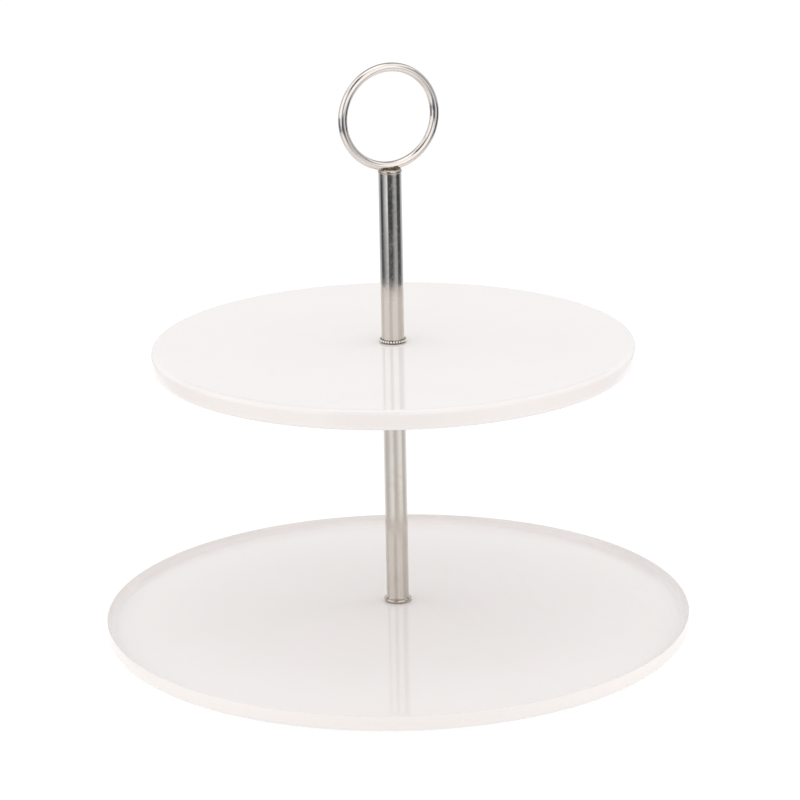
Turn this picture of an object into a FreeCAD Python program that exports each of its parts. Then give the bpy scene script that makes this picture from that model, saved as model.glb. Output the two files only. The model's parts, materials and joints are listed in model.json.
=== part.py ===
import FreeCAD, Part
import math
import os

# Two-tier cake stand: two round stone plates on a polished steel post with a ring handle.
# Millimetres, +Z up. The origin is on the axis of the post, level with the bottom of the feet.
# The ring handle lies in the XZ plane.

# ---- driving dimensions ----
FOOT_HEIGHT = 3.0
FOOT_RADIUS = 7.0
FOOT_SHOULDER = 0.8             # rounding of a foot's bottom edge
FOOT_COUNT = 4
FOOT_CIRCLE_RADIUS = 120.0

LOWER_PLATE_RADIUS = 150.0
LOWER_PLATE_THICKNESS = 12.5
LOWER_PLATE_TOP_ROUND = 4.0
LOWER_PLATE_BOTTOM_ROUND = 3.0
UPPER_PLATE_RADIUS = 122.0
UPPER_PLATE_THICKNESS = 10.0
UPPER_PLATE_TOP_ROUND = 2.5
UPPER_PLATE_BOTTOM_ROUND = 2.0
PLATE_HOLE_RADIUS = 4.2
TIER_GAP = 128.5                # clear height between the lower plate and the upper plate
RECESS_RADIUS = 11.0            # under the lower plate, for the base screw's head
RECESS_DEPTH = 6.0

TUBE_RADIUS = 5.75
TUBE_WALL = 1.0
UPPER_TUBE_TOP = 241.5          # height above the table
TUBE_EDGE_BREAK = 0.2

THREAD_RADIUS = 3.0             # M6, drawn as plain cylinders
THREAD_PLAY = 0.05              # radial clearance where a thread runs
TURNING_PLAY = 0.05             # radial clearance where one piece turns on another
PLUG_LENGTH = 13.0
STUD_BELOW_SEAT = 12.0          # length of stud held in the lower tube's head plug
STUD_IN_HANDLE = 10.1           # length of stud inside the upper tube's plug

CUP_WALL_RADIUS = 6.3           # the beaded collar's wall, across the middle of its facets
CUP_WALL_TOP = 1.9              # heights above the stone
CUP_WALL_BOTTOM = 0.15
CUP_FLOOR_BOTTOM = 0.4
CUP_FLOOR_TOP = 0.9
BEAD_COUNT = 28
BEAD_RADIUS = 0.62
BEAD_CIRCLE_RADIUS = 6.45
BEAD_HEIGHT = 1.2
FLARE_RADIUS = 7.1              # the lower collar's widest radius
FLARE_HEIGHT = 1.9
FLARE_NECK = 0.5                # height of the hollow neck above the flare
FLARE_NECK_WALL = 0.12          # its thickness

COLLAR_HOLE_RADIUS = 4.0        # in the beaded collar, round the plug's neck
LIP_RADIUS = 4.5                # rolled lip that keeps the beaded collar on the plug
LIP_DEPTH = 0.25
LIP_GAP = 0.05
SCREW_HOLE_RADIUS = 3.3         # in the lower collar, round the base screw

GASKET_THICKNESS = 0.4
GASKET_RADIUS = 5.6
UPPER_GASKET_HOLE = 4.8
LOWER_GASKET_HOLE = 3.6
SEAT_FLANGE_RADIUS = 7.0
SEAT_FLANGE_THICKNESS = 1.2
SEAT_SLEEVE_LENGTH = 9.0

BASE_GASKET_RADIUS = 8.5
BASE_GASKET_THICKNESS = 1.0
BASE_WASHER_RADIUS = 8.0
BASE_WASHER_HOLE = 3.08
BASE_WASHER_THICKNESS = 1.2
SCREW_HEAD_RADIUS = 5.25
SCREW_HEAD_HEIGHT = 3.3
SCREW_HEAD_ROUND = 2.0
SCREW_LENGTH = 20.0
SOCKET_ACROSS_FLATS = 4.0
SOCKET_DEPTH = 2.0
THREAD_END_BREAK = 0.5          # chamfer on the ends of the stud and the screw

CAP_RADIUS = 6.05
CAP_HEIGHT = 1.8
CAP_TOP_ROUND = 1.1
CAP_BOTTOM_ROUND = 0.4
CAP_SPIGOT_LENGTH = 6.0
RING_RADIUS = 24.8              # to the middle of the wire
WIRE_RADIUS = 2.3
RING_SINK = 0.9                 # depth of the groove in the cap that the ring sits in
BRAZE_FOOT_RADIUS = 4.3
BRAZE_TOP_RADIUS = 2.9
BRAZE_HEIGHT = 1.2

# ---- levels worked out from them ----
TUBE_BORE = TUBE_RADIUS - TUBE_WALL
LOWER_PLATE_TOP = FOOT_HEIGHT + LOWER_PLATE_THICKNESS
UPPER_PLATE_BOTTOM = LOWER_PLATE_TOP + TIER_GAP
UPPER_PLATE_TOP = UPPER_PLATE_BOTTOM + UPPER_PLATE_THICKNESS
LOWER_TUBE_BOTTOM = LOWER_PLATE_TOP + CUP_FLOOR_TOP
LOWER_TUBE_TOP = UPPER_PLATE_BOTTOM - SEAT_FLANGE_THICKNESS
UPPER_TUBE_BOTTOM = UPPER_PLATE_TOP + CUP_FLOOR_TOP
RECESS_CEILING = FOOT_HEIGHT + RECESS_DEPTH
BASE_WASHER_TOP = RECESS_CEILING - BASE_GASKET_THICKNESS
SCREW_SEAT = BASE_WASHER_TOP - BASE_WASHER_THICKNESS
CAP_TOP = UPPER_TUBE_TOP + CAP_HEIGHT
RING_CENTRE = CAP_TOP - RING_SINK + WIRE_RADIUS + RING_RADIUS


def disc(radius, bottom, top):
    """A cylinder on the post's axis, from one height to another."""
    return Part.makeCylinder(radius, top - bottom, FreeCAD.Vector(0, 0, bottom))


def washer(outer, inner, bottom, top):
    """A flat ring on the post's axis."""
    return disc(outer, bottom, top).cut(disc(inner, bottom, top))


def circles_at(shape, radius, height):
    """The circular edges of a turned shape that have this radius and height."""
    found = []
    for edge in shape.Edges:
        curve = edge.Curve
        if isinstance(curve, Part.Circle):
            if abs(curve.Radius - radius) < 1e-6 and abs(curve.Center.z - height) < 1e-6:
                found.append(edge)
    return found


def rounded(shape, radius, height, size):
    """The shape with the circular edge at this radius and height rounded."""
    return shape.makeFillet(size, circles_at(shape, radius, height))


def bevelled(shape, radius, height, size):
    """The shape with the circular edge at this radius and height chamfered."""
    return shape.makeChamfer(size, circles_at(shape, radius, height))


def turned(edges):
    """The solid made by revolving a closed outline in the XZ plane about the post's axis."""
    outline = Part.Face(Part.Wire(edges))
    return outline.revolve(FreeCAD.Vector(0, 0, 0), FreeCAD.Vector(0, 0, 1), 360)


def point(radius, height):
    """A point of an outline in the XZ plane."""
    return FreeCAD.Vector(radius, 0, height)


def point_at(radius, angle, height):
    """A point at an angle round the post's axis."""
    return FreeCAD.Vector(radius * math.cos(angle), radius * math.sin(angle), height)


def line(start, end):
    return Part.LineSegment(start, end).toShape()


def arc(start, middle, end):
    return Part.Arc(start, middle, end).toShape()


def make_plate(radius, bottom, top, top_round, bottom_round):
    """A round stone plate with softened rims and a drilled hole."""
    plate = disc(radius, bottom, top)
    plate = rounded(plate, radius, top, top_round)
    plate = rounded(plate, radius, bottom, bottom_round)
    plate = plate.cut(disc(PLATE_HOLE_RADIUS, bottom, top))
    return plate


def make_lower_plate():
    """The large plate, with a recess below for the base screw's head."""
    plate = make_plate(LOWER_PLATE_RADIUS, FOOT_HEIGHT, LOWER_PLATE_TOP,
                       LOWER_PLATE_TOP_ROUND, LOWER_PLATE_BOTTOM_ROUND)
    return plate.cut(disc(RECESS_RADIUS, FOOT_HEIGHT, RECESS_CEILING))


def make_upper_plate():
    return make_plate(UPPER_PLATE_RADIUS, UPPER_PLATE_BOTTOM, UPPER_PLATE_TOP,
                      UPPER_PLATE_TOP_ROUND, UPPER_PLATE_BOTTOM_ROUND)


def make_rubber_feet():
    """Identical round feet on a circle under the lower plate."""
    feet = []
    for i in range(FOOT_COUNT):
        angle = 2 * math.pi * (i + 0.5) / FOOT_COUNT
        foot = rounded(disc(FOOT_RADIUS, 0, FOOT_HEIGHT), FOOT_RADIUS, 0, FOOT_SHOULDER)
        foot.translate(point_at(FOOT_CIRCLE_RADIUS, angle, 0))
        feet.append(foot)
    return Part.makeCompound(feet)


def make_tube(bottom, top):
    """A thin-walled post tube with lightly broken outer edges."""
    tube = washer(TUBE_RADIUS, TUBE_BORE, bottom, top)
    tube = bevelled(tube, TUBE_RADIUS, bottom, TUBE_EDGE_BREAK)
    return bevelled(tube, TUBE_RADIUS, top, TUBE_EDGE_BREAK)


def make_threaded_rod(bottom, top):
    """A plain rod of the thread's outer size, with broken ends."""
    rod = disc(THREAD_RADIUS, bottom, top)
    rod = bevelled(rod, THREAD_RADIUS, top, THREAD_END_BREAK)
    return bevelled(rod, THREAD_RADIUS, bottom, THREAD_END_BREAK)


def make_joining_stud():
    """Runs from the lower tube's head plug, through the upper plate, into the upper tube's plug."""
    return make_threaded_rod(LOWER_TUBE_TOP - STUD_BELOW_SEAT, UPPER_TUBE_BOTTOM + STUD_IN_HANDLE)


def make_base_screw():
    """Button-head socket screw, head down, in the lower plate's recess."""
    head_bottom = SCREW_SEAT - SCREW_HEAD_HEIGHT
    head = disc(SCREW_HEAD_RADIUS, head_bottom, SCREW_SEAT)
    head = rounded(head, SCREW_HEAD_RADIUS, head_bottom, SCREW_HEAD_ROUND)
    corner = SOCKET_ACROSS_FLATS / math.sqrt(3)
    turns = [2 * math.pi * i / 6 for i in range(7)]
    corners = [point_at(corner, t, head_bottom) for t in turns]
    socket = Part.Face(Part.makePolygon(corners)).extrude(FreeCAD.Vector(0, 0, SOCKET_DEPTH))
    shank = disc(THREAD_RADIUS, SCREW_SEAT, SCREW_SEAT + SCREW_LENGTH)
    shank = bevelled(shank, THREAD_RADIUS, SCREW_SEAT + SCREW_LENGTH, THREAD_END_BREAK)
    return head.cut(socket).fuse(shank).removeSplitter()


def make_lower_collar():
    """A smooth cup under the lower tube: a rounded bulge with a hollow neck above it."""
    base = LOWER_PLATE_TOP
    bore = TUBE_RADIUS
    neck = TUBE_RADIUS + FLARE_NECK_WALL
    shoulder = (FLARE_RADIUS + TUBE_RADIUS) / 2
    bulge = CUP_WALL_BOTTOM + FLARE_HEIGHT / 2
    neck_top = base + FLARE_HEIGHT + FLARE_NECK
    outer = [
        line(point(SCREW_HOLE_RADIUS, base + CUP_FLOOR_TOP), point(SCREW_HOLE_RADIUS, base + CUP_FLOOR_BOTTOM)),
        line(point(SCREW_HOLE_RADIUS, base + CUP_FLOOR_BOTTOM), point(bore, base + CUP_FLOOR_BOTTOM)),
        line(point(bore, base + CUP_FLOOR_BOTTOM), point(bore, base + CUP_WALL_BOTTOM)),
        line(point(bore, base + CUP_WALL_BOTTOM), point(shoulder, base + CUP_WALL_BOTTOM)),
        arc(point(shoulder, base + CUP_WALL_BOTTOM), point(FLARE_RADIUS, base + bulge),
            point(shoulder, base + FLARE_HEIGHT)),
        line(point(shoulder, base + FLARE_HEIGHT), point(neck, neck_top)),
        line(point(neck, neck_top), point(bore, neck_top)),
        line(point(bore, neck_top), point(bore, base + CUP_FLOOR_TOP)),
        line(point(bore, base + CUP_FLOOR_TOP), point(SCREW_HOLE_RADIUS, base + CUP_FLOOR_TOP)),
    ]
    return turned(outer)


def make_beaded_collar():
    """A cup under the upper tube. Its wall has one narrow facet for each small bead round it."""
    base = UPPER_PLATE_TOP
    corner_radius = CUP_WALL_RADIUS / math.cos(math.pi / BEAD_COUNT)
    turns = [2 * math.pi * i / BEAD_COUNT for i in range(BEAD_COUNT + 1)]
    corners = [point_at(corner_radius, t, base + CUP_WALL_BOTTOM) for t in turns]
    height = CUP_WALL_TOP - CUP_WALL_BOTTOM
    cup = Part.Face(Part.makePolygon(corners)).extrude(FreeCAD.Vector(0, 0, height))
    for i in range(BEAD_COUNT):
        facet_middle = 2 * math.pi * (i + 0.5) / BEAD_COUNT
        centre = point_at(BEAD_CIRCLE_RADIUS, facet_middle, base + BEAD_HEIGHT)
        cup = cup.fuse(Part.makeSphere(BEAD_RADIUS, centre, point_at(1, facet_middle, 0)))
    bore = TUBE_RADIUS + TURNING_PLAY
    cup = cup.cut(disc(bore, base + CUP_FLOOR_TOP, base + CUP_WALL_TOP))
    cup = cup.cut(disc(bore, base + CUP_WALL_BOTTOM, base + CUP_FLOOR_BOTTOM))
    return cup.cut(disc(COLLAR_HOLE_RADIUS, base + CUP_FLOOR_BOTTOM, base + CUP_FLOOR_TOP))


def make_upper_tube_plug():
    """Runs on the stud. Its neck and rolled lip keep the beaded collar on, free to turn."""
    floor_top = UPPER_TUBE_BOTTOM
    floor_bottom = UPPER_PLATE_TOP + CUP_FLOOR_BOTTOM
    lip_top = floor_bottom - LIP_GAP
    lip_bottom = lip_top - LIP_DEPTH
    body = disc(TUBE_BORE, floor_top, floor_top + PLUG_LENGTH)
    neck = disc(COLLAR_HOLE_RADIUS - TURNING_PLAY, lip_top, floor_top)
    lip = disc(LIP_RADIUS, lip_bottom, lip_top)
    bore = disc(THREAD_RADIUS + THREAD_PLAY, lip_bottom, floor_top + PLUG_LENGTH)
    return body.fuse([neck, lip]).removeSplitter().cut(bore)


def make_seat_washer():
    """Flange on the lower tube's end, with a sleeve that centres the upper plate on the stud."""
    flange = disc(SEAT_FLANGE_RADIUS, LOWER_TUBE_TOP, UPPER_PLATE_BOTTOM)
    sleeve = disc(PLATE_HOLE_RADIUS, UPPER_PLATE_BOTTOM, UPPER_PLATE_BOTTOM + SEAT_SLEEVE_LENGTH)
    bore = disc(THREAD_RADIUS + TURNING_PLAY, LOWER_TUBE_TOP, UPPER_PLATE_BOTTOM + SEAT_SLEEVE_LENGTH)
    return flange.fuse(sleeve).removeSplitter().cut(bore)


def make_ring_handle():
    return Part.makeTorus(RING_RADIUS, WIRE_RADIUS, FreeCAD.Vector(0, 0, RING_CENTRE),
                          FreeCAD.Vector(0, 1, 0))


def make_handle_cap():
    """Low rounded cap with a groove for the ring, and a spigot pressed into the upper tube."""
    cap = disc(CAP_RADIUS, UPPER_TUBE_TOP, CAP_TOP)
    cap = rounded(cap, CAP_RADIUS, CAP_TOP, CAP_TOP_ROUND)
    cap = rounded(cap, CAP_RADIUS, UPPER_TUBE_TOP, CAP_BOTTOM_ROUND)
    spigot = disc(TUBE_BORE, UPPER_TUBE_TOP - CAP_SPIGOT_LENGTH, UPPER_TUBE_TOP)
    return cap.fuse(spigot).removeSplitter().cut(make_ring_handle())


def make_handle_braze():
    """Braze metal that joins the ring to the cap."""
    fillet = Part.makeCone(BRAZE_FOOT_RADIUS, BRAZE_TOP_RADIUS, BRAZE_HEIGHT, FreeCAD.Vector(0, 0, CAP_TOP))
    return fillet.cut(make_ring_handle())


def make_parts():
    """Every piece of the stand by node name."""
    thread_hole = THREAD_RADIUS + THREAD_PLAY
    return {
        "lower_plate": make_lower_plate(),
        "upper_plate": make_upper_plate(),
        "rubber_feet": make_rubber_feet(),
        "lower_tube": make_tube(LOWER_TUBE_BOTTOM, LOWER_TUBE_TOP),
        "upper_tube": make_tube(UPPER_TUBE_BOTTOM, UPPER_TUBE_TOP),
        "lower_tube_foot_plug": washer(TUBE_BORE, thread_hole, LOWER_TUBE_BOTTOM,
                                       LOWER_TUBE_BOTTOM + PLUG_LENGTH),
        "lower_tube_head_plug": washer(TUBE_BORE, THREAD_RADIUS, LOWER_TUBE_TOP - PLUG_LENGTH,
                                       LOWER_TUBE_TOP),
        "upper_tube_plug": make_upper_tube_plug(),
        "joining_stud": make_joining_stud(),
        "base_screw": make_base_screw(),
        "base_washer": washer(BASE_WASHER_RADIUS, BASE_WASHER_HOLE, SCREW_SEAT, BASE_WASHER_TOP),
        "base_gasket": washer(BASE_GASKET_RADIUS, LOWER_GASKET_HOLE, BASE_WASHER_TOP, RECESS_CEILING),
        "lower_gasket": washer(GASKET_RADIUS, LOWER_GASKET_HOLE, LOWER_PLATE_TOP,
                               LOWER_PLATE_TOP + GASKET_THICKNESS),
        "upper_gasket": washer(GASKET_RADIUS, UPPER_GASKET_HOLE, UPPER_PLATE_TOP,
                               UPPER_PLATE_TOP + GASKET_THICKNESS),
        "seat_washer": make_seat_washer(),
        "lower_collar": make_lower_collar(),
        "beaded_collar": make_beaded_collar(),
        "handle_cap": make_handle_cap(),
        "handle_braze": make_handle_braze(),
        "ring_handle": make_ring_handle(),
    }


os.makedirs("parts", exist_ok=True)
for node, shape in make_parts().items():
    shape.exportStep("parts/" + node + ".step")
    print(node, "solids", len(shape.Solids), "volume", round(shape.Volume, 1), "valid", shape.isValid())
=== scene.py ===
import json
import math

import bmesh
import bpy
from mathutils import Matrix, Vector, noise


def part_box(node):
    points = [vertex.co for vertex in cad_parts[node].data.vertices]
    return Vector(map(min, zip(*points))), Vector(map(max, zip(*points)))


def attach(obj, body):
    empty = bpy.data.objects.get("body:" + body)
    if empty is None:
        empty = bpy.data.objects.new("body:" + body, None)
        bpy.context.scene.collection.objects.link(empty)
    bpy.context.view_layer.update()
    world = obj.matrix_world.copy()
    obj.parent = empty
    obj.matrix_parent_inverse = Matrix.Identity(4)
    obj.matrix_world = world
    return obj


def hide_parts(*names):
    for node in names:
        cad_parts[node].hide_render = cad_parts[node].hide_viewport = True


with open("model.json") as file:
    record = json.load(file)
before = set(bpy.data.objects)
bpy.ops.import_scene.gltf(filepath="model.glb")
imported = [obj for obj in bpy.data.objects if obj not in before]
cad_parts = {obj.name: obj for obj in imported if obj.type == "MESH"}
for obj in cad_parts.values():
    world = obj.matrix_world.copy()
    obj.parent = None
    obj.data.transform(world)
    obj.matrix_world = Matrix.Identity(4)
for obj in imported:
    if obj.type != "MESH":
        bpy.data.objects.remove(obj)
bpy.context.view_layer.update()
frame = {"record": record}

MM = 0.001
TURN = 2 * math.pi
AROUND = 256                    # segments round the post's axis
EDGE_BREAK = 0.12 * MM          # softening of small edges that the CAD model leaves sharp
HOLD = 0.15 * MM                # how far from a curve the flat part beside it starts
THREAD_PITCH = 1.0 * MM
THREAD_BLUNT = 0.5 * MM         # how much narrower a threaded rod's ends are
THREAD_OUTER = 3.0 * MM         # outer radius of the M6 threads
STUD_BORE = 3.05 * MM           # in the pieces that turn on the stud or hold the base screw

body_of_node = {n: b for b, ns in frame["record"]["behaviour"]["bodies"].items() for n in ns}


# ---------------------------------------------------------------- meshes

def bottom(node):
    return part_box(node)[0][2]


def top(node):
    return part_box(node)[1][2]


def radius(node):
    """Outer radius of a node that is round about the post's axis."""
    low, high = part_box(node)
    return (high[1] - low[1]) / 2


def softened(corners, steps=7):
    """Outline points of a closed polygon of (radius, height, rounding) corners.

    Long straight runs get a point near each end, so that smooth shading stays flat between them."""
    runs = []
    for i, (x, y, size) in enumerate(corners):
        corner = Vector((x, y))
        if size == 0:
            runs.append([corner])
            continue
        before = (Vector(corners[i - 1][:2]) - corner).normalized()
        after = (Vector(corners[(i + 1) % len(corners)][:2]) - corner).normalized()
        half = before.angle(after) / 2
        centre = corner + (before + after).normalized() * size / math.sin(half)
        start = corner + before * size / math.tan(half) - centre
        sweep = math.pi - 2 * half
        if start.x * after.y - start.y * after.x < 0:
            sweep = -sweep
        runs.append([centre + Matrix.Rotation(sweep * k / steps, 2) @ start for k in range(steps + 1)])
    points = []
    for i, run in enumerate(runs):
        points += run
        following = runs[(i + 1) % len(runs)][0]
        gap = following - run[-1]
        if gap.length > 6 * HOLD:
            points.append(run[-1] + gap.normalized() * HOLD)
            points.append(following - gap.normalized() * HOLD)
    return [(p.x, p.y) for p in points]


def lathe(name, outline, segments=AROUND, shape=None):
    """A closed mesh: an outline of (radius, height) points turned about the post's axis.

    Points on the axis become one vertex. shape(radius, height, angle) may change the radius."""
    mesh = bmesh.new()
    rings = []
    for r, z in outline:
        if r < 1e-7:
            rings.append([mesh.verts.new((0, 0, z))] * segments)
            continue
        ring = []
        for i in range(segments):
            angle = TURN * i / segments
            here = shape(r, z, angle) if shape else r
            ring.append(mesh.verts.new((here * math.cos(angle), here * math.sin(angle), z)))
        rings.append(ring)
    for near, far in zip(rings, rings[1:] + rings[:1]):
        for i in range(segments):
            j = (i + 1) % segments
            corners = list(dict.fromkeys([near[i], near[j], far[j], far[i]]))
            if len(corners) > 2:
                mesh.faces.new(corners)
    return finished(name, mesh)


def finished(name, mesh, sharp_above=35):
    """An object from a bmesh, smooth except at edges sharper than this angle."""
    bmesh.ops.recalc_face_normals(mesh, faces=mesh.faces)
    data = bpy.data.meshes.new(name)
    mesh.to_mesh(data)
    mesh.free()
    return as_object(name, data, sharp_above)


def as_object(name, data, sharp_above=35):
    data.shade_smooth()
    data.set_sharp_from_angle(angle=math.radians(sharp_above))
    piece = bpy.data.objects.new(name, data)
    bpy.context.scene.collection.objects.link(piece)
    return piece


def combined(piece, operation, other, sharp_above=35):
    """The piece with the other mesh cut from it or joined to it. The other one is used up."""
    modifier = piece.modifiers.new("combine", "BOOLEAN")
    modifier.operation, modifier.object, modifier.solver = operation, other, "EXACT"
    name = piece.name
    evaluated = piece.evaluated_get(bpy.context.evaluated_depsgraph_get())
    data = bpy.data.meshes.new_from_object(evaluated)
    bpy.data.objects.remove(other)
    bpy.data.objects.remove(piece)
    data.name = name
    return as_object(name, data, sharp_above)


def thread_height(phase):
    """Height of a metric thread, 0 at the root and 1 at the crest, at a fraction of the pitch."""
    from_crest = abs(phase - 0.5) * 2
    return min(1, max(0, (0.75 - from_crest) / 0.625))


def threaded_rod(name, low, high, outer, blunt_low=True):
    """A rod with a right-handed helical thread and blunted ends."""
    across, segments = 8, 48
    depth = 0.58 * THREAD_PITCH
    start = low - 1.5 * THREAD_PITCH
    steps = int(((high - low) / THREAD_PITCH + 3) * segments)
    mesh = bmesh.new()
    grid = []
    for t in range(steps + 1):
        angle = TURN * t / segments
        column = []
        for p in range(across):
            z = start + THREAD_PITCH * (t / segments + p / across)
            r = outer - depth * (1 - thread_height(p / across))
            r = min(r, outer - THREAD_BLUNT + max(0, high - z))
            if blunt_low:
                r = min(r, outer - THREAD_BLUNT + max(0, z - low))
            column.append(mesh.verts.new((r * math.cos(angle), r * math.sin(angle), z)))
        grid.append(column)
    for t in range(steps - segments):
        for p in range(across):
            here, beyond = grid[t], grid[t + 1]
            if p + 1 < across:
                mesh.faces.new((here[p], beyond[p], beyond[p + 1], here[p + 1]))
            else:
                mesh.faces.new((here[p], beyond[p], grid[t + 1 + segments][0], grid[t + segments][0]))
    for level, way in ((low, -1), (high, 1)):
        cut = bmesh.ops.bisect_plane(mesh, geom=mesh.verts[:] + mesh.edges[:] + mesh.faces[:],
                                     plane_co=(0, 0, level), plane_no=(0, 0, way), clear_outer=True)
        edges = [e for e in cut["geom_cut"] if isinstance(e, bmesh.types.BMEdge)]
        bmesh.ops.edgenet_fill(mesh, edges=edges)
    bmesh.ops.delete(mesh, geom=[v for v in mesh.verts if not v.link_faces], context="VERTS")
    return finished(name, mesh, 28)


def washer(name, node, inner, edge=EDGE_BREAK):
    """A flat ring the size of a node, with softened edges."""
    low, high, outer = bottom(node), top(node), radius(node)
    return lathe(name, softened([(inner, low, edge), (outer, low, edge), (outer, high, edge),
                                 (inner, high, edge)], 4), 128)


def keep(piece, node, material):
    """The piece stands for this node, moves with its body and has this material."""
    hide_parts(node)
    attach(piece, body_of_node[node])
    piece.data.materials.clear()
    piece.data.materials.append(material)


# ---------------------------------------------------------------- materials

class Surface:
    """A procedural material. Coordinates are metres in the stand's own frame."""

    def __init__(self, name, **settings):
        self.material = bpy.data.materials.new(name)
        self.material.use_nodes = True
        self.tree = self.material.node_tree
        self.shader = self.tree.nodes["Principled BSDF"]
        self.place = self.tree.nodes.new("ShaderNodeTexCoord").outputs["Object"]
        for socket, value in settings.items():
            self.set(socket, value)

    def set(self, socket, value):
        target = self.shader.inputs[socket.replace("_", " ")]
        if isinstance(value, bpy.types.NodeSocket):
            self.tree.links.new(value, target)
        else:
            target.default_value = value

    def node(self, kind, inputs=(), **options):
        made = self.tree.nodes.new(kind)
        for option, value in options.items():
            setattr(made, option, value)
        for key, value in dict(inputs).items():
            if isinstance(value, bpy.types.NodeSocket):
                self.tree.links.new(value, made.inputs[key])
            else:
                made.inputs[key].default_value = value
        return made

    def stretched(self, x, y, z):
        """The coordinates scaled by these amounts."""
        return self.node("ShaderNodeMapping", {"Vector": self.place, "Scale": (x, y, z)}).outputs[0]

    def noise(self, scale, detail=3.0, roughness=0.5, distortion=0.0, where=None):
        return self.node("ShaderNodeTexNoise", {
            "Vector": where or self.place, "Scale": scale, "Detail": detail,
            "Roughness": roughness, "Distortion": distortion}).outputs["Fac"]

    def cells(self, scale):
        return self.node("ShaderNodeTexVoronoi", {"Vector": self.place, "Scale": scale}).outputs["Distance"]

    def sums(self, operation, first, second=0.0):
        return self.node("ShaderNodeMath", {0: first, 1: second}, operation=operation).outputs[0]

    def spread(self, value, low, high, new_low=0.0, new_high=1.0):
        """The value moved from one range to another, smoothly at both ends."""
        return self.node("ShaderNodeMapRange", {
            "Value": value, "From Min": low, "From Max": high, "To Min": new_low, "To Max": new_high},
            interpolation_type="SMOOTHSTEP").outputs["Result"]

    def blend(self, amount, first, second):
        """Two colours mixed; each is three numbers or another node's colour."""
        mix = self.node("ShaderNodeMix", {0: amount}, data_type="RGBA")
        for index, colour in ((6, first), (7, second)):
            if isinstance(colour, bpy.types.NodeSocket):
                self.tree.links.new(colour, mix.inputs[index])
            else:
                mix.inputs[index].default_value = (*colour, 1)
        return mix.outputs[2]

    def bump(self, height, distance):
        self.set("Normal", self.node("ShaderNodeBump", {
            "Height": height, "Distance": distance, "Strength": 1.0}).outputs[0])


def polished_stone():
    """White marble: faint warm clouds, hair-thin grey veins, a few specks, a glassy polish, and a painted
    pinker tint on the sides that stands in for the light falling on them.
    """
    s = Surface("white_stone", IOR=1.5, Subsurface_Weight=0.10, Subsurface_Scale=0.0012,
                Subsurface_Radius=(1.0, 0.85, 0.75))
    clouds = s.spread(s.noise(14, 5, 0.6, 0.6), 0.35, 0.7)
    grain = s.noise(900, 2, 0.5)
    vein_path = s.sums("ABSOLUTE", s.sums("SUBTRACT", s.noise(9, 6, 0.62, 1.1, s.stretched(1, 0.6, 1)), 0.5))
    veins = s.spread(vein_path, 0.0, 0.014, 1.0, 0.0)
    broken = s.sums("MULTIPLY", veins, s.spread(s.noise(22, 2), 0.45, 0.65))
    specks = s.spread(s.cells(170), 0.0, 0.055, 1.0, 0.0)
    rare = s.sums("MULTIPLY", specks, s.spread(s.noise(60, 1), 0.58, 0.64))
    colour = s.blend(clouds, (0.815, 0.782, 0.772), (0.800, 0.772, 0.760))
    colour = s.blend(s.sums("MULTIPLY", grain, 0.25), colour, (0.830, 0.800, 0.790))
    # painted light: where the surface faces sideways the colour turns pinker, standing in for how the light
    # falls on the rims, not a colour of the stone
    facing = s.node("ShaderNodeNewGeometry").outputs["Normal"]
    upright = s.node("ShaderNodeSeparateXYZ", {0: facing}).outputs[2]
    painted_side_tint = s.spread(s.sums("ABSOLUTE", upright), 0.1, 0.75, 1.0, 0.0)
    colour = s.blend(s.sums("MULTIPLY", painted_side_tint, 0.8), colour, (0.835, 0.782, 0.757))
    colour = s.blend(s.sums("MULTIPLY", broken, 0.05), colour, (0.60, 0.58, 0.56))
    colour = s.blend(s.sums("MULTIPLY", rare, 0.22), colour, (0.52, 0.47, 0.42))
    s.set("Base_Color", colour)
    s.set("Roughness", s.sums("ADD", s.spread(s.noise(40, 4), 0.3, 0.75, 0.045, 0.085),
                              s.sums("MULTIPLY", rare, 0.2)))
    s.bump(s.sums("SUBTRACT", s.noise(260, 3), s.sums("MULTIPLY", rare, 2.0)), 0.004 * MM)
    return s.material


# colour of the painted shade on the beaded collar's wall, between and round its beads
PAINTED_RECESS_SHADE = (0.26, 0.225, 0.18)


def polished_steel(name, colour, lines_along_post=True, roughness=0.10, painted_recess_shade=None):
    """Bright drawn steel: fine lines along the drawing direction, smudges and hairline scratches.

    The last argument, if given, holds two distances from the post's axis: painted shade is dark inside the
    first and gone beyond the second, darkening the collar's wall round its beads."""
    s = Surface(name, Metallic=1.0)
    grain = s.stretched(1, 1, 0.02) if lines_along_post else s.stretched(0.25, 1, 0.25)
    lines = s.noise(1500, 3, 0.6, 0.0, grain)
    smudges = s.spread(s.noise(75, 4, 0.6, 0.8), 0.42, 0.72)
    mottle = s.spread(s.noise(620, 4, 0.65, 0.4), 0.40, 0.72)
    handling = s.noise(480, 0, 0.5, 0.15, s.stretched(1, 1, 0.14))
    scratches = s.spread(s.sums("ABSOLUTE", s.sums("SUBTRACT", handling, 0.62)), 0.0, 0.006, 1.0, 0.0)
    finish = s.blend(s.sums("MULTIPLY", smudges, 0.5), colour,
                     tuple(c * f for c, f in zip(colour, (0.90, 0.87, 0.82))))
    # painted shade: the metal is darkened near the axis, on the collar's wall and round the feet of the
    # beads, where shade falls
    if painted_recess_shade:
        across = s.node("ShaderNodeVectorMath", {0: s.stretched(1, 1, 0)}, operation="LENGTH")
        finish = s.blend(s.spread(across.outputs["Value"], *painted_recess_shade), PAINTED_RECESS_SHADE, finish)
    s.set("Base_Color", finish)
    worn = s.sums("ADD", s.sums("MULTIPLY", smudges, 0.06), s.sums("MULTIPLY", mottle, 0.10))
    s.set("Roughness", s.sums("ADD", s.sums("MULTIPLY", lines, 0.05), s.sums("ADD", worn, roughness - 0.05)))
    s.bump(s.sums("SUBTRACT", lines, s.sums("MULTIPLY", scratches, 0.7)), 0.0025 * MM)
    return s.material


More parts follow.
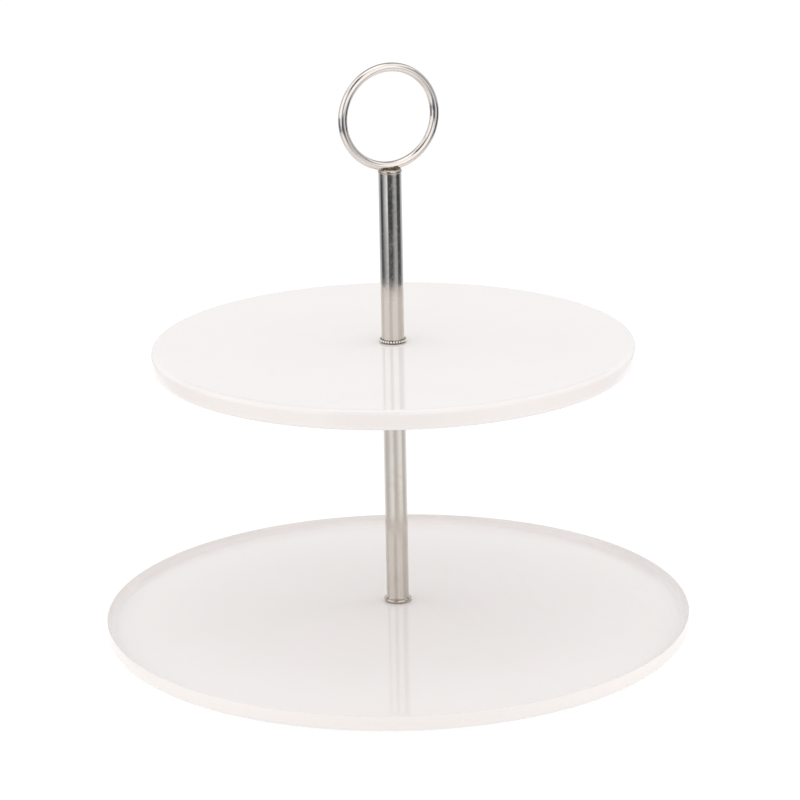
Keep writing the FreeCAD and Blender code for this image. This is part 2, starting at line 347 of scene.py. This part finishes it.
def zinc_plate():
    """Bright zinc with patchy passivation, from bluish to straw, and small darker specks."""
    s = Surface("zinc_plate", Metallic=1.0)
    patches = s.spread(s.noise(420, 4, 0.6, 0.7), 0.35, 0.68)
    dull = s.spread(s.noise(900, 3), 0.3, 0.7, 0.26, 0.42)
    colour = s.blend(patches, (0.60, 0.62, 0.645), (0.66, 0.64, 0.57))
    s.set("Base_Color", s.blend(s.spread(s.cells(1500), 0.0, 0.25, 0.25, 0.0), colour, (0.40, 0.40, 0.40)))
    s.set("Roughness", dull)
    s.bump(s.noise(3200, 3), 0.006 * MM)
    return s.material


def braze_metal():
    """Braze left as it flowed: brown heat tint with straw-coloured spots and flux specks, and a painted
    highlight that makes the top of the dab paler.
    """
    s = Surface("braze_metal", Metallic=0.9)
    tint = s.spread(s.noise(650, 4, 0.6, 1.0), 0.36, 0.66)
    pale = s.spread(s.noise(1100, 3, 0.5), 0.56, 0.70)
    colour = s.blend(tint, (0.060, 0.040, 0.026), (0.185, 0.135, 0.085))
    colour = s.blend(s.sums("MULTIPLY", pale, 0.6), colour, (0.50, 0.45, 0.36))
    # painted highlight: the braze turns pale above a set height over the cap, on the top of the mound where
    # the light catches it
    level = s.node("ShaderNodeSeparateXYZ", {0: s.place}).outputs[2]
    painted_top_highlight = s.spread(level, top("handle_cap") + 1.1 * MM, top("handle_cap") + 1.9 * MM)
    s.set("Base_Color", s.blend(s.sums("MULTIPLY", painted_top_highlight, 0.85), colour, (0.66, 0.60, 0.50)))
    s.set("Roughness", s.spread(s.noise(1800, 3), 0.3, 0.7, 0.24, 0.52))
    s.bump(s.noise(1500, 4, 0.6), 0.05 * MM)
    return s.material


def moulded(name, colour, darker, roughness, bump, scale, sheen=0.0):
    """Moulded rubber or plastic: a fine grain, handling marks and a little dust. bump is in millimetres."""
    s = Surface(name, IOR=1.48, Sheen_Weight=sheen)
    marks = s.spread(s.noise(scale * 0.12, 4, 0.6, 0.5), 0.4, 0.72)
    dust = s.spread(s.noise(scale * 0.8, 3), 0.52, 0.75)
    shade = s.blend(s.sums("MULTIPLY", marks, 0.55), colour, darker)
    dusty = tuple(min(1, c * 1.15) for c in colour)
    s.set("Base_Color", s.blend(s.sums("MULTIPLY", dust, 0.2), shade, dusty))
    s.set("Roughness", s.spread(marks, 0, 1, roughness - 0.07, roughness + 0.07))
    s.bump(s.noise(scale, 3, 0.55), bump * MM)
    return s.material


stone = polished_stone()
tube_steel = polished_steel("tube_steel", (0.645, 0.607, 0.562), roughness=0.11)
collar_steel = polished_steel("collar_steel", (0.56, 0.51, 0.45), roughness=0.10)
# painted shade on the beaded collar's wall, round the feet of its beads
bead_steel = polished_steel("bead_steel", (0.90, 0.87, 0.82), roughness=0.08, painted_recess_shade=(6.42 * MM, 6.78 * MM))
ring_steel = polished_steel("ring_steel", (0.80, 0.745, 0.705), lines_along_post=False, roughness=0.13)
zinc = zinc_plate()
braze = braze_metal()
soft_rubber = moulded("soft_rubber", (0.50, 0.50, 0.48), (0.40, 0.39, 0.37),
                      roughness=0.62, bump=0.02, scale=1600, sheen=0.2)
foot_rubber = moulded("foot_rubber", (0.72, 0.72, 0.69), (0.58, 0.57, 0.53),
                      roughness=0.50, bump=0.02, scale=1100, sheen=0.2)
white_nylon = moulded("white_nylon", (0.80, 0.79, 0.74), (0.70, 0.68, 0.61),
                      roughness=0.42, bump=0.012, scale=1300)


# ---------------------------------------------------------------- the plates

PLATE_SEGMENTS = 384
HOLE = 4.2 * MM                 # radius of the hole in each plate
HOLE_EDGE = 0.25 * MM
RECESS = 11 * MM                # radius of the recess for the base screw's head


def plate(name, node, top_round, bottom_round, recess=None):
    """A round stone plate with softened rims, a drilled hole and perhaps a recess below."""
    low, high, rim = bottom(node), top(node), radius(node)
    corners = [(rim, low, bottom_round), (rim, high, top_round), (HOLE, high, HOLE_EDGE)]
    if recess:
        across, ceiling = recess
        corners += [(HOLE, ceiling, 0.2 * MM), (across, ceiling, 0.5 * MM), (across, low, 0.4 * MM)]
    else:
        corners += [(HOLE, low, HOLE_EDGE)]
    keep(lathe(name, softened(corners, 12), PLATE_SEGMENTS), node, stone)


plate("lower_plate_stone", "lower_plate", top_round=4.0 * MM, bottom_round=3.0 * MM,
      recess=(RECESS, top("base_gasket")))
plate("upper_plate_stone", "upper_plate", top_round=2.5 * MM, bottom_round=2.0 * MM)


# ---------------------------------------------------------------- the post

BORE = 4.75 * MM                # of both tubes
TUBE_EDGE = 0.2 * MM
for node in ("lower_tube", "upper_tube"):
    low, high, outer = bottom(node), top(node), radius(node)
    keep(lathe(node + "_drawn", softened([(BORE, low, EDGE_BREAK), (outer, low, TUBE_EDGE),
                                          (outer, high, TUBE_EDGE), (BORE, high, EDGE_BREAK)], 5)),
         node, tube_steel)


def flared_collar():
    """A pressed cup: a rounded bulge with a narrow neck that grips the tube."""
    node = "lower_collar"
    low, high, outer = bottom(node), top(node), radius(node)
    tube = radius("lower_tube")
    flare_top = high - 0.5 * MM
    middle = (low + flare_top) / 2
    half = (flare_top - low) / 2
    swell, hole = 0.68 * MM, 3.3 * MM
    bulge = [(outer - swell + swell * math.cos(a), middle + half * math.sin(a))
             for a in (math.pi * (k / 16 - 0.5) for k in range(17))]
    neck = [(tube + 0.16 * MM, high - 0.12 * MM), (tube + 0.10 * MM, high), (tube - 0.02 * MM, high)]
    inside = [(tube - 0.02 * MM, bottom("lower_tube")), (hole, bottom("lower_tube")),
              (hole, low + 0.25 * MM), (tube, low + 0.25 * MM), (tube, low)]
    return lathe("lower_collar_flared", bulge + neck + inside)


keep(flared_collar(), "lower_collar", collar_steel)

BEADS = 28


def beaded_collar():
    """A pressed cup with a string of small round beads standing out of its wall."""
    node = "beaded_collar"
    low, high = bottom(node), top(node)
    wall, bead, bead_circle = 6.3 * MM, 0.62 * MM, 6.45 * MM
    bead_height = low + 1.05 * MM
    inner = radius("upper_tube") + 0.05 * MM
    floor_low, floor_high, hole = low + 0.25 * MM, low + 0.75 * MM, 4.0 * MM
    rows = 30
    outside = [(wall, low + (high - low) * k / rows) for k in range(rows + 1)]

    def with_beads(r, z, angle):
        if r < wall - 1e-6 * MM:
            return r
        step = TURN / BEADS
        off = (angle % step - step / 2) * bead_circle
        rise = z - bead_height
        left = bead * bead - off * off - rise * rise
        rim = 0.12 * MM * math.exp(-((min(z - low, high - z)) / (0.10 * MM)) ** 2)
        return max(wall - rim, bead_circle + math.sqrt(left) if left > 0 else 0)

    inside = [(inner, high), (inner, floor_high), (hole, floor_high), (hole, floor_low), (inner, floor_low),
              (inner, low)]
    return lathe("beaded_collar_pressed", outside + inside, BEADS * 20, with_beads)


keep(beaded_collar(), "beaded_collar", bead_steel)


def upper_plug():
    """Threaded plug with the neck and rolled lip that hold the beaded collar."""
    node = "upper_tube_plug"
    low, high = bottom(node), top(node)
    floor_high, floor_low = bottom("upper_tube"), bottom("beaded_collar") + 0.25 * MM
    lip, neck = 4.5 * MM, 3.95 * MM
    lip_high = floor_low - 0.05 * MM
    return lathe("upper_tube_plug_turned", softened([
        (STUD_BORE, low, 0.06 * MM), (lip, low, 0.08 * MM), (lip, lip_high, 0.08 * MM), (neck, lip_high, 0),
        (neck, floor_high, 0), (BORE, floor_high, 0.1 * MM), (BORE, high, 0.3 * MM),
        (STUD_BORE, high, 0.3 * MM)], 4), 128)


keep(upper_plug(), "upper_tube_plug", zinc)
for node, bore in (("lower_tube_foot_plug", STUD_BORE), ("lower_tube_head_plug", THREAD_OUTER)):
    keep(washer(node + "_turned", node, bore, edge=0.3 * MM), node, zinc)

keep(threaded_rod("joining_stud_threaded", bottom("joining_stud"), top("joining_stud"),
                  radius("joining_stud")), "joining_stud", zinc)


# ---------------------------------------------------------------- the fixings under the lower plate

def base_screw():
    """Button-head screw with a hexagon socket and a real thread."""
    node = "base_screw"
    low, high, outer = bottom(node), top(node), radius(node)
    seat = bottom("base_washer")
    head = lathe("base_screw_head", softened([
        (0, low, 0), (outer, low, 2.0 * MM), (outer, seat, 0.15 * MM), (0, seat, 0)], 10), 128)
    across_flats, socket_depth = 4.0 * MM, 2.0 * MM
    corner = across_flats / math.sqrt(3)
    hexagon = bmesh.new()
    bmesh.ops.create_cone(hexagon, cap_ends=True, segments=6, radius1=corner, radius2=corner,
                          depth=2 * socket_depth, matrix=Matrix.Translation((0, 0, low)))
    head = combined(head, "DIFFERENCE", finished("socket", hexagon))
    shank = threaded_rod("shank", seat - 0.4 * MM, high, THREAD_OUTER, blunt_low=False)
    screw = combined(head, "UNION", shank, 28)
    screw.name = "base_screw_threaded"
    return screw


keep(base_screw(), "base_screw", zinc)
keep(washer("base_washer_plated", "base_washer", inner=3.08 * MM, edge=0.2 * MM), "base_washer", zinc)
keep(washer("base_gasket_soft", "base_gasket", inner=3.6 * MM, edge=0.2 * MM), "base_gasket", soft_rubber)
keep(washer("lower_gasket_soft", "lower_gasket", inner=3.6 * MM), "lower_gasket", soft_rubber)
keep(washer("upper_gasket_soft", "upper_gasket", inner=4.8 * MM), "upper_gasket", soft_rubber)


def seat_washer():
    """Nylon flange with the sleeve that centres the upper plate."""
    node = "seat_washer"
    low, high, flange = bottom(node), top(node), radius(node)
    stone_low = bottom("upper_plate")
    return lathe("seat_washer_moulded", softened([
        (STUD_BORE, low, 0.15 * MM), (flange, low, 0.3 * MM), (flange, stone_low, 0.1 * MM),
        (HOLE, stone_low, 0), (HOLE, high, 0.3 * MM), (STUD_BORE, high, 0.15 * MM)], 5), 160)


keep(seat_washer(), "seat_washer", white_nylon)


def rubber_feet():
    """Four round stick-on feet with a rounded edge and a shallow dimple underneath."""
    low, high = bottom("rubber_feet"), top("rubber_feet")
    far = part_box("rubber_feet")[1][0]
    foot = 7.0 * MM
    centre = far - foot
    outline = softened([(0, high, 0), (0, low + 0.35 * MM, 0), (3.4 * MM, low + 0.3 * MM, 0.6 * MM),
                        (4.2 * MM, low, 0.4 * MM), (foot, low, 0.8 * MM), (foot, high, 0.15 * MM)], 6)
    mesh = bmesh.new()
    for sx in (1, -1):
        for sy in (1, -1):
            one = lathe("foot", outline, 96)
            one.data.transform(Matrix.Translation((sx * centre, sy * centre, 0)))
            mesh.from_mesh(one.data)
            bpy.data.objects.remove(one)
    return finished("rubber_feet_moulded", mesh)


keep(rubber_feet(), "rubber_feet", foot_rubber)


# ---------------------------------------------------------------- the handle

WIRE = radius("ring_handle")
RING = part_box("ring_handle")[1][0] - WIRE
RING_CENTRE = (bottom("ring_handle") + top("ring_handle")) / 2


def ring(name):
    """The closed wire ring, upright in the XZ plane."""
    around, across = 288, 48
    mesh = bmesh.new()
    grid = [[mesh.verts.new(((RING + WIRE * math.cos(b)) * math.cos(a), WIRE * math.sin(b),
                             RING_CENTRE + (RING + WIRE * math.cos(b)) * math.sin(a)))
             for b in (TURN * j / across for j in range(across))]
            for a in (TURN * i / around for i in range(around))]
    for i in range(around):
        for j in range(across):
            k, m = (i + 1) % around, (j + 1) % across
            mesh.faces.new((grid[i][j], grid[k][j], grid[k][m], grid[i][m]))
    return finished(name, mesh)


def handle_cap():
    """Low rounded cap with the groove that the ring sits in, and its spigot."""
    low, high, outer = bottom("handle_cap"), top("handle_cap"), radius("handle_cap")
    shoulder = top("upper_tube")
    cap = lathe("handle_cap_turned", softened([
        (0, low, 0), (BORE, low, 0.3 * MM), (BORE, shoulder, 0), (outer, shoulder, 0.4 * MM),
        (outer, high, 1.1 * MM), (0, high, 0)], 10), 192)
    return combined(cap, "DIFFERENCE", ring("groove"))


def braze_fillet():
    """The mound of braze along both sides of the wire, with a thicker dab at its +X end."""
    base = top("handle_cap")
    reach, rings, segments = 5.0 * MM, 28, 96
    floor = base - 0.25 * MM
    mesh = bmesh.new()

    def height(x, y):
        along = max(0, 1 - (abs(x) / reach) ** 8)
        beside = math.exp(-(max(0, abs(y) - 1.7 * MM) / (1.0 * MM)) ** 2)
        rise = 1.15 * MM * along * beside
        dab = math.exp(-(((x - 2.7 * MM) ** 2 + (y + 1.5 * MM) ** 2) / (1.45 * MM) ** 2) ** 2)
        lumps = noise.noise(Vector((x, y, 0)) * 900) * 0.22 + noise.noise(Vector((x, y, 4)) * 2200) * 0.08
        edge = 1 - (math.hypot(x, y) / reach) ** 10
        return max(0.0, (rise * (1 + lumps) + 1.0 * MM * dab * (1 + lumps / 2)) * edge)

    centre_top = mesh.verts.new((0, 0, base + height(0, 0)))
    centre_low = mesh.verts.new((0, 0, floor))
    upper, lower = [], []
    for k in range(1, rings + 1):
        r = reach * k / rings
        turns = [TURN * i / segments for i in range(segments)]
        spots = [(r * math.cos(turn), r * math.sin(turn)) for turn in turns]
        upper.append([mesh.verts.new((x, y, base - 0.02 * MM + height(x, y))) for x, y in spots])
        lower.append([mesh.verts.new((x, y, floor)) for x, y in spots])
    for i in range(segments):
        j = (i + 1) % segments
        mesh.faces.new((centre_top, upper[0][i], upper[0][j]))
        mesh.faces.new((centre_low, lower[0][j], lower[0][i]))
        mesh.faces.new((upper[-1][i], lower[-1][i], lower[-1][j], upper[-1][j]))
        for near, far in zip(upper, upper[1:]):
            mesh.faces.new((near[i], far[i], far[j], near[j]))
        for near, far in zip(lower, lower[1:]):
            mesh.faces.new((near[j], far[j], far[i], near[i]))
    return finished("handle_braze_flowed", mesh, 80)


keep(ring("ring_handle_wire"), "ring_handle", ring_steel)
keep(handle_cap(), "handle_cap", collar_steel)
keep(braze_fillet(), "handle_braze", braze)


# ---------------------------------------------------------------- studio

# the camera looks from the front left of the ring's plane
CAMERA_AZIMUTH = -0.4124
CAMERA_DISTANCE, CAMERA_HEIGHT = 1.5649, 0.5872
CAMERA_PITCH, CAMERA_ROLL, CAMERA_YAW = 0.2883, -0.0186, -0.0019
LENS, SENSOR = 144.6, 36.0

RIGHT = Vector((math.cos(CAMERA_AZIMUTH), math.sin(CAMERA_AZIMUTH), 0))
AWAY = Vector((-math.sin(CAMERA_AZIMUTH), math.cos(CAMERA_AZIMUTH), 0))
UP = Vector((0, 0, 1))
CENTRE = Vector((0, 0, 0.15))   # the middle of the stand

# degrees from the camera: outside its pools of light a card is at its dim level up to the first of these
# and at its outer level from the second on
DIM_END, OUTER_START = 105, 128


def studio(right, away, up):
    """A point or direction given as seen from the camera's side."""
    return RIGHT * right + AWAY * away + UP * up


def make_camera():
    data = bpy.data.cameras.new("camera")
    data.lens, data.sensor_width, data.clip_end = LENS, SENSOR, 100
    camera = bpy.data.objects.new("camera", data)
    bpy.context.scene.collection.objects.link(camera)
    level = studio(math.cos(CAMERA_YAW), math.sin(CAMERA_YAW), 0)
    ahead = studio(-math.sin(CAMERA_YAW), math.cos(CAMERA_YAW), 0)
    forward = ahead * math.cos(CAMERA_PITCH) - UP * math.sin(CAMERA_PITCH)
    over = ahead * math.sin(CAMERA_PITCH) + UP * math.cos(CAMERA_PITCH)
    right = level * math.cos(CAMERA_ROLL) + over * math.sin(CAMERA_ROLL)
    up = over * math.cos(CAMERA_ROLL) - level * math.sin(CAMERA_ROLL)
    turn = Matrix((right, up, -forward)).transposed().to_4x4()
    camera.matrix_world = Matrix.Translation(studio(0, -CAMERA_DISTANCE, CAMERA_HEIGHT)) @ turn
    bpy.context.scene.camera = camera


def glow(name, colour):
    """Gives off light of this colour, as much as each point's level says."""
    material = bpy.data.materials.new(name)
    material.use_nodes = True
    tree = material.node_tree
    shader = tree.nodes["Principled BSDF"]
    shader.inputs["Base Color"].default_value = (0, 0, 0, 1)
    shader.inputs["Specular IOR Level"].default_value = 0
    shader.inputs["Emission Color"].default_value = (*colour, 1)
    level = tree.nodes.new("ShaderNodeAttribute")
    level.attribute_name = "level"
    tree.links.new(level.outputs["Fac"], shader.inputs["Emission Strength"])
    return material


def pool(angle, rise, full, fade, dark):
    """The share of a pool of light at an angle: none up to rise, all from full to fade, none from dark on."""
    return max(0.0, min(1.0, (angle - rise) / (full - rise), (dark - angle) / (dark - fade)))


def even_rows(places, dim, left, right, outer):
    """Rows of a card at these (distance, height) places, all with the same levels."""
    return [(place, (dim, left, right, outer)) for place in places]


def on_floor(near, far):
    """Two (distance, height) places just above the floor."""
    return (near, 0.001), (far, 0.001)


def card(name, material, pools, rows, start=-OUTER_START, end=OUTER_START, step=2):
    """A curved card round the stand, seen only in reflections, as a photographer's flags and boxes are.

    Angles are in degrees to the right of the camera. pools gives the left and the right pool of light."""
    mesh = bmesh.new()
    degrees = range(start, end + 1, step)
    ways = [studio(math.sin(math.radians(d)), -math.cos(math.radians(d)), 0) for d in degrees]
    lines = [[mesh.verts.new(way * distance + UP * height) for way in ways] for (distance, height), _ in rows]
    for near, far in zip(lines, lines[1:]):
        for k in range(len(near) - 1):
            mesh.faces.new((near[k], far[k], far[k + 1], near[k + 1]))
    mesh.verts.index_update()
    made = finished(name, mesh)
    levels = []
    for _, (dim, left, right, outer) in rows:
        for d in degrees:
            plain = dim + (outer - dim) * max(0, min(1, (abs(d) - DIM_END) / (OUTER_START - DIM_END)))
            levels.append(plain + (left - plain) * pool(d, *pools[0]) + (right - plain) * pool(d, *pools[1]))
    made.data.attributes.new("level", "FLOAT", "POINT").data.foreach_set("value", levels)
    made.data.materials.append(material)
    made.visible_camera = made.visible_diffuse = made.visible_shadow = False
    made.visible_transmission = False


def make_floor():
    mesh = bmesh.new()
    bmesh.ops.create_circle(mesh, cap_ends=True, segments=96, radius=30)
    floor = finished("floor", mesh)
    material = bpy.data.materials.new("floor_paper")
    material.use_nodes = True
    shader = material.node_tree.nodes["Principled BSDF"]
    shader.inputs["Base Color"].default_value = (0.16, 0.16, 0.16, 1)
    shader.inputs["Roughness"].default_value = 0.9
    shader.inputs["Specular IOR Level"].default_value = 0
    shader.inputs["Emission Color"].default_value = (1, 1, 1, 1)
    shader.inputs["Emission Strength"].default_value = 0.87
    floor.data.materials.append(material)


def softbox(name, place, width, height, power, in_reflections=False):
    """An area light aimed at the middle of the stand."""
    data = bpy.data.lights.new(name, "AREA")
    data.shape, data.size, data.size_y, data.energy = "RECTANGLE", width, height, power
    light = bpy.data.objects.new(name, data)
    light.location = place
    light.rotation_euler = (CENTRE - place).to_track_quat("-Z", "Y").to_euler()
    light.visible_glossy = in_reflections
    bpy.context.scene.collection.objects.link(light)


def make_sky(even_light, camera_side_light):
    """Even light from all round, a little brighter from the camera's side."""
    world = bpy.data.worlds.new("studio")
    bpy.context.scene.world = world
    world.use_nodes = True
    nodes, join = world.node_tree.nodes, world.node_tree.links.new
    slope = nodes.new("ShaderNodeVectorMath")
    slope.operation = "DOT_PRODUCT"
    join(nodes.new("ShaderNodeTexCoord").outputs["Generated"], slope.inputs[0])
    slope.inputs[1].default_value = studio(0, -camera_side_light, 0)
    level = nodes.new("ShaderNodeMath")
    join(slope.outputs["Value"], level.inputs[0])
    level.inputs[1].default_value = even_light
    join(level.outputs["Value"], nodes["Background"].inputs["Strength"])
    nodes["Background"].inputs["Color"].default_value = (1, 1, 1, 1)


make_floor()
neutral, cool = glow("neutral_glow", (1.0, 1.0, 1.0)), glow("cool_glow", (0.93, 0.98, 1.06))

# where the light of the left and of the right softbox falls, in degrees: (rise, full, fade, dark)
TABLE_POOLS = (-80, -40, -28, -4), (10, 44, 64, 82)
FLOOR_POOLS = (-88, -32, -30, -25), (12, 40, 64, 68)
WALL_BOXES = (-96, -94, -34, -32), (0, 2, 56, 58)
CEILING_SIDES = (-129, -128, -44, -34), (2, 12, 128, 129)

WALL = 2.8                      # metres from the post
WALL_TOP, BACK_WALL_TOP = 2.0, 1.7
BACK = OUTER_START, 360 - OUTER_START

card("table", neutral, TABLE_POOLS,
     even_rows(on_floor(0.16, 0.56), dim=0.74, left=1.12, right=1.12, outer=1.02))
# the dim room beyond the table's edge
card("room_floor", cool, FLOOR_POOLS,
     (even_rows(on_floor(0.56, 0.78), dim=0.12, left=0.64, right=0.56, outer=0.75)
      + even_rows(on_floor(0.98, 1.15), dim=0.07, left=1.35, right=0.42, outer=0.75)
      + even_rows(on_floor(1.35, 9.0), dim=0.09, left=1.35, right=1.00, outer=0.75)), start=-180, end=180)
# its walls, with a softbox each side, and the dark ceiling between them
card("room_wall", neutral, WALL_BOXES,
     even_rows([(WALL, 0.0), (WALL, WALL_TOP)], dim=0.45, left=1.25, right=1.25, outer=0.86))
card("room_ceiling", neutral, CEILING_SIDES,
     even_rows([(WALL, WALL_TOP), (1.5, 3.0)], dim=0.10, left=1.10, right=1.10, outer=1.10))
card("back_wall", neutral, WALL_BOXES,
     even_rows([(WALL, 0.0), (WALL, BACK_WALL_TOP)], dim=0.86, left=0.86, right=0.86, outer=0.86), *BACK)
card("back_ceiling", neutral, WALL_BOXES,
     even_rows([(WALL, BACK_WALL_TOP), (1.2, 3.1)], dim=0.35, left=0.35, right=0.35, outer=0.35), *BACK)

softbox("overhead", studio(0, -0.1, 1.7), width=0.9, height=0.9, power=1.2, in_reflections=True)
softbox("left_softbox", studio(-1.7, 0.1, 0.7), width=1.2, height=1.0, power=3.6)
softbox("right_softbox", studio(1.7, 0.1, 0.7), width=1.2, height=1.0, power=3.6)
make_sky(even_light=1.06, camera_side_light=0.07)
bpy.context.scene.view_settings.view_transform = "Standard"
make_camera()
